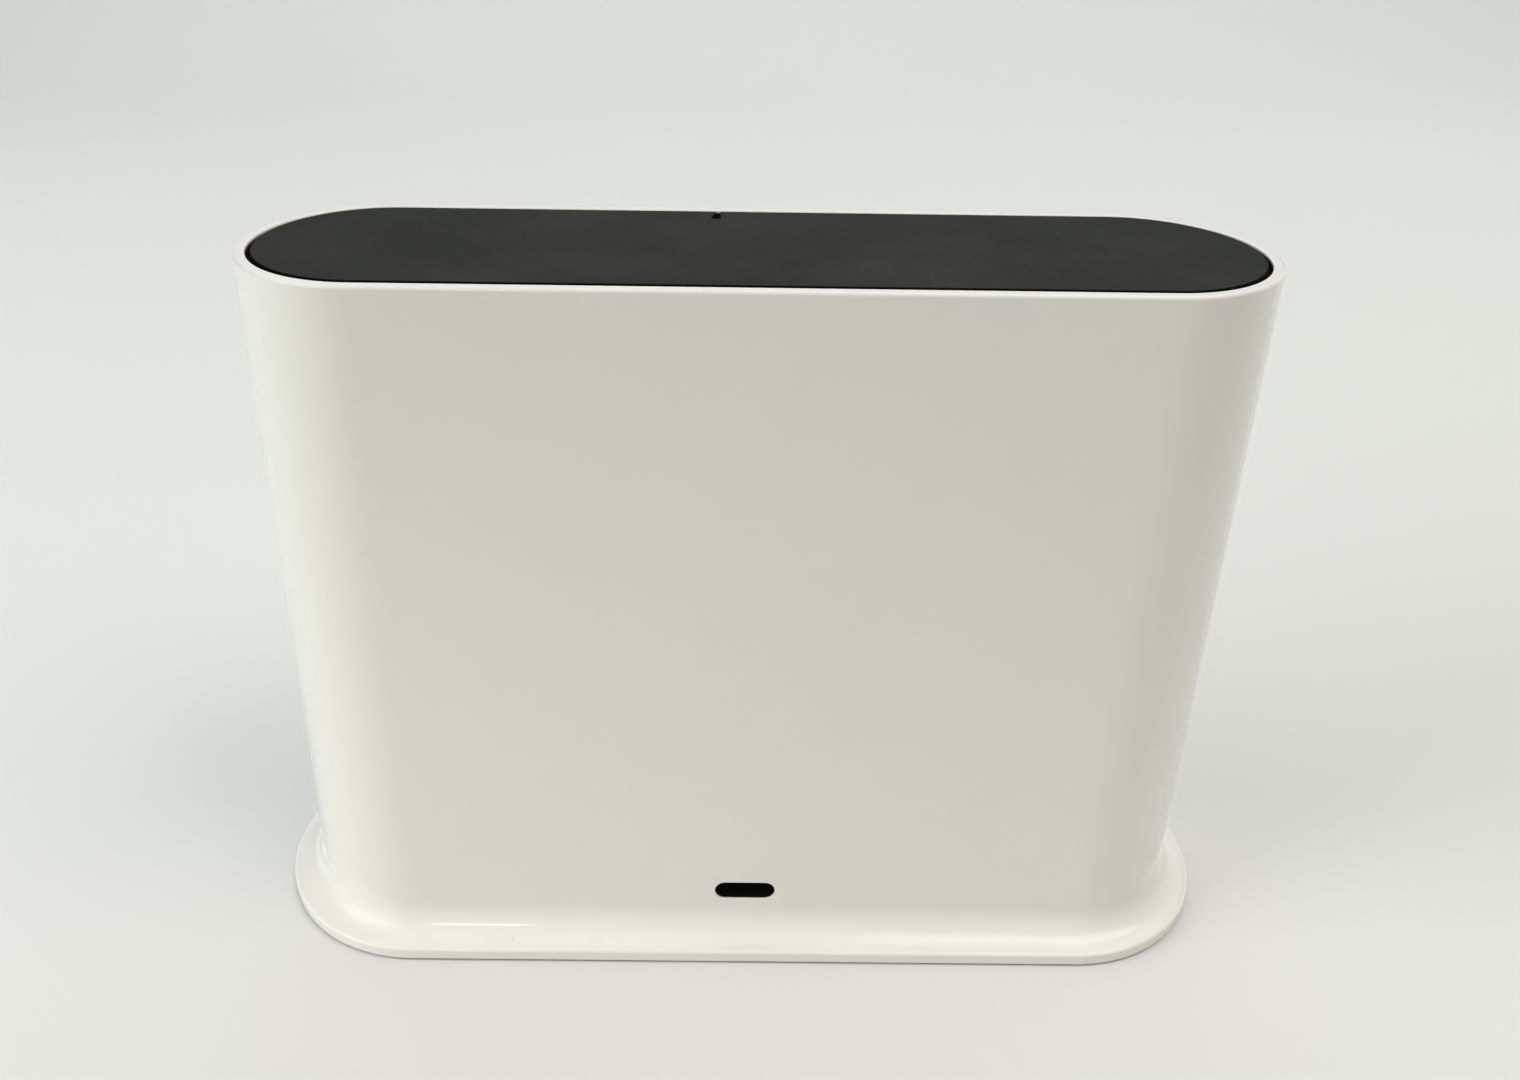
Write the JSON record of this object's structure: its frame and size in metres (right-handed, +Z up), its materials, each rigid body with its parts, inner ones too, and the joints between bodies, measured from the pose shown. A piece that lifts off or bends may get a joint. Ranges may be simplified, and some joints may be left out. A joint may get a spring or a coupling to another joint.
{
  "type": "security camera base station",
  "caption": "Upright base station for wireless cameras: gloss white round-ended sleeve flaring into a foot, dark flush top cover, status window, rear ports.",
  "frame": {"origin": "centre of the foot's plan on the table, under the rubber pads", "axes": "+X along the long side to the right as seen from the front, +Y from the front to the rear ports, +Z up"},
  "size_m": [0.177, 0.056, 0.127],
  "materials": {
    "gloss_white": "smooth gloss moulding, warm white",
    "charcoal": "fine matte grain, charcoal",
    "base_grey": "fine matte grain, pale grey",
    "pad_rubber": "matt soft rubber",
    "steel": "plain zinc-plated steel",
    "window_black": "gloss smoked black",
    "clear_guide": "clear moulding",
    "led_white": "moulded lamp package",
    "socket_black": "black connector plastic",
    "contact_gold": "gold-plated spring wire",
    "button_white": "satin moulding, warm white",
    "board_green": "solder mask with copper tracks",
    "capacitor_blue": "sleeved metal can",
    "ferrite": "dull ferrite",
    "connector_ivory": "connector plastic",
    "carrier_grey": "plain grey moulding",
    "chip_black": "moulded chip package",
    "thermal_blue": "soft thermal pad",
    "sink_aluminium": "extruded, as sawn",
    "shield_tin": "tinned sheet",
    "lead_black": "thin jacketed lead"
  },
  "bodies": {
    "station": {"outer_shell": "gloss_white", "top_cover": "charcoal", "base_plate": "base_grey", "foot_pads": "pad_rubber", "base_screws": "steel", "light_window": "window_black", "light_guide": "clear_guide", "status_leds": "led_white", "port_panel": "charcoal", "port_board": "board_green", "port_board_screws": "steel", "net_can": "shield_tin", "net_insert": "socket_black", "net_contacts": "contact_gold", "power_socket": "socket_black", "power_pin": "steel", "power_leaf": "steel", "card_tray": "socket_black", "card_cover": "shield_tin", "card_contacts": "contact_gold", "sync_switch": "socket_black", "reset_switch": "socket_black", "filter_capacitors": "capacitor_blue", "power_inductors": "ferrite", "line_transformer": "chip_black", "edge_connector": "connector_ivory", "carrier": "carrier_grey", "main_board": "board_green", "main_board_screws": "steel", "processor": "chip_black", "memory_chips": "chip_black", "thermal_pad": "thermal_blue", "heat_sink": "sink_aluminium", "heat_sink_screws": "steel", "radio_shields": "shield_tin", "left_aerial": "board_green", "right_aerial": "board_green", "top_aerial": "board_green", "lead_plugs": "contact_gold", "left_lead": "lead_black", "right_lead": "lead_black", "top_lead": "lead_black"},
    "sync_key": {"sync_button": "button_white", "sync_plunger": "socket_black"},
    "reset_key": {"reset_plunger": "button_white"},
    "card_stop": {"card_slider": "socket_black"}
  },
  "joints": [
    {"name": "sync_press", "type": "slide", "parent": "station", "child": "sync_key", "axis": [0, -1, 0], "range_m": [0, 0.0005], "stiffness_N_per_m": 3000},
    {"name": "reset_press", "type": "slide", "parent": "station", "child": "reset_key", "axis": [0, -1, 0], "range_m": [0, 0.0004], "stiffness_N_per_m": 3000},
    {"name": "card_push", "type": "slide", "parent": "station", "child": "card_stop", "axis": [0, -1, 0], "range_m": [0, 0.0012], "stiffness_N_per_m": 300}
  ]
}
